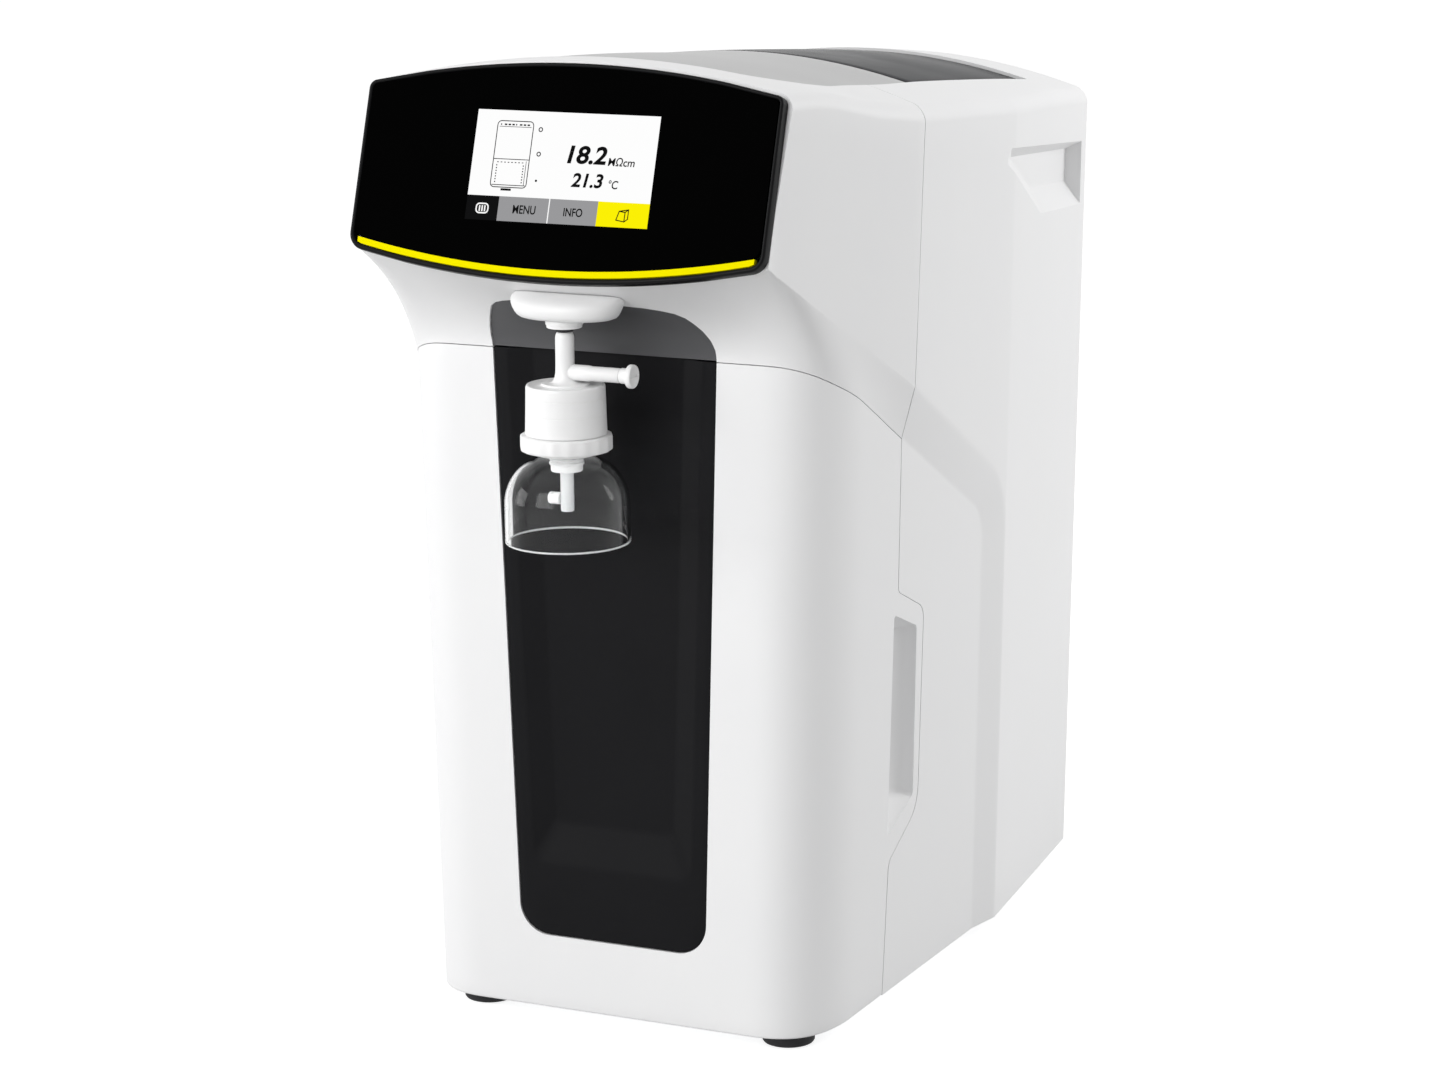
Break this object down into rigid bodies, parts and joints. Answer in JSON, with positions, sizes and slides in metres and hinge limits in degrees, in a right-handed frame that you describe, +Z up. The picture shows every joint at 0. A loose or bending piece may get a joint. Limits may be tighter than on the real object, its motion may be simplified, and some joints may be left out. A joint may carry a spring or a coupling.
{
  "type": "ultrapure water system",
  "caption": "Bench-top lab water purifier: white cabinet, tilted black touch display with yellow edge, dark front inlay, filter capsule and clear bell on the outlet, top hatch and side grips.",
  "frame": {"origin": "on the supporting surface under the middle of the object's bounding box", "axes": "+Z up; -Y towards the operator, the side with the display and the filling bell; +X to the operator's right"},
  "size_m": [0.2604, 0.4596, 0.499],
  "materials": {
    "shell_white": "satin moulded shell, fine grain",
    "inlay_black": "satin black moulding",
    "arch_dark": "satin dark grey moulding",
    "window_grey": "smooth light grey cover plate",
    "lid_dark": "smooth dark hatch",
    "bright_steel": "bright steel",
    "sheet_steel": "zinc-plated sheet",
    "bezel_dark": "fine matt rim",
    "strip_yellow": "smooth yellow strip",
    "display_black": "polished black front",
    "screen_white": "lit liquid-crystal screen",
    "board_green": "solder-masked circuit board",
    "fitting_white": "white moulded fitting",
    "seal_rubber": "black seal",
    "capsule_milky": "milky polypropylene",
    "tube_clear": "frosted clear tube",
    "bell_clear": "clear moulded bell",
    "foot_rubber": "matt dark rubber",
    "tank_milky": "blow-moulded polyethylene",
    "cap_blue": "ribbed blue cap",
    "moulding_black": "black moulding",
    "cartridge_white": "smooth white cartridge",
    "housing_metal": "satin metal housing",
    "panel_white": "fine-grained panel",
    "rocker_black": "black switch rocker",
    "connector_grey": "grey push-in connector"
  },
  "bodies": {
    "cabinet": {"head_shell": "shell_white", "head_inlay": "arch_dark", "rear_shell": "shell_white", "top_window": "window_grey", "hinge_pin": "bright_steel", "hinge_bracket": "sheet_steel", "display_bezel": "bezel_dark", "accent_strip": "strip_yellow", "display_glass": "display_black", "lcd_module": "screen_white", "display_board": "board_green", "dispense_pad": "shell_white", "outlet_collar": "fitting_white", "o_ring": "seal_rubber", "base_plate": "sheet_steel", "foot_front_left": "foot_rubber", "foot_front_right": "foot_rubber", "foot_rear_left": "foot_rubber", "foot_rear_right": "foot_rubber", "chassis_plate": "sheet_steel", "tank_shelf": "sheet_steel", "storage_tank": "tank_milky", "tank_cap": "cap_blue", "cartridge_holder": "moulding_black", "pretreatment_cartridge": "cartridge_white", "polishing_cartridge": "cartridge_white", "uv_housing": "housing_metal", "flow_manifold": "moulding_black", "conductivity_cell": "bright_steel", "solenoid_valve": "moulding_black", "pump_motor": "housing_metal", "pump_head": "moulding_black", "pump_cradle": "foot_rubber", "power_supply": "housing_metal", "control_board": "board_green", "rear_panel": "panel_white", "mains_inlet": "moulding_black", "switch_housing": "moulding_black", "feed_connector": "connector_grey", "drain_connector": "connector_grey", "data_port": "housing_metal", "rear_screw_low_left": "bright_steel", "rear_screw_low_right": "bright_steel", "rear_screw_high_left": "bright_steel", "rear_screw_high_right": "bright_steel"},
    "cover": {"front_cover": "shell_white", "front_inlay": "inlay_black"},
    "lid": {"top_lid": "lid_dark"},
    "capsule": {"capsule_body": "capsule_milky", "capsule_base": "capsule_milky", "outlet_tube": "tube_clear", "tip_cap": "fitting_white", "vent_port": "capsule_milky"},
    "bell": {"filling_bell": "bell_clear"},
    "knob": {"vent_knob": "fitting_white"},
    "rocker": {"power_rocker": "rocker_black"}
  },
  "joints": [
    {"name": "cover_pull", "type": "slide", "parent": "cabinet", "child": "cover", "axis": [0, -1, 0], "range_m": [0, 0.009]},
    {"name": "lid_hinge", "type": "hinge", "parent": "cabinet", "child": "lid", "pos_m": [0, 0.15865, 0.46662], "axis": [-1, 0, 0], "range_deg": [0, 75]},
    {"name": "capsule_pull", "type": "slide", "parent": "cabinet", "child": "capsule", "axis": [0, 0, -1], "range_m": [0, 0.0135]},
    {"name": "bell_pull", "type": "slide", "parent": "capsule", "child": "bell", "axis": [0, 0, -1], "range_m": [0, 0.008]},
    {"name": "vent_turn", "type": "hinge", "parent": "capsule", "child": "knob", "pos_m": [0.0303, -0.19915, 0.351], "axis": [1, 0, 0], "range_deg": [0, 90]},
    {"name": "power_rock", "type": "hinge", "parent": "cabinet", "child": "rocker", "pos_m": [0.004, 0.22543, 0.052], "axis": [1, 0, 0], "range_deg": [-16, 0]}
  ]
}
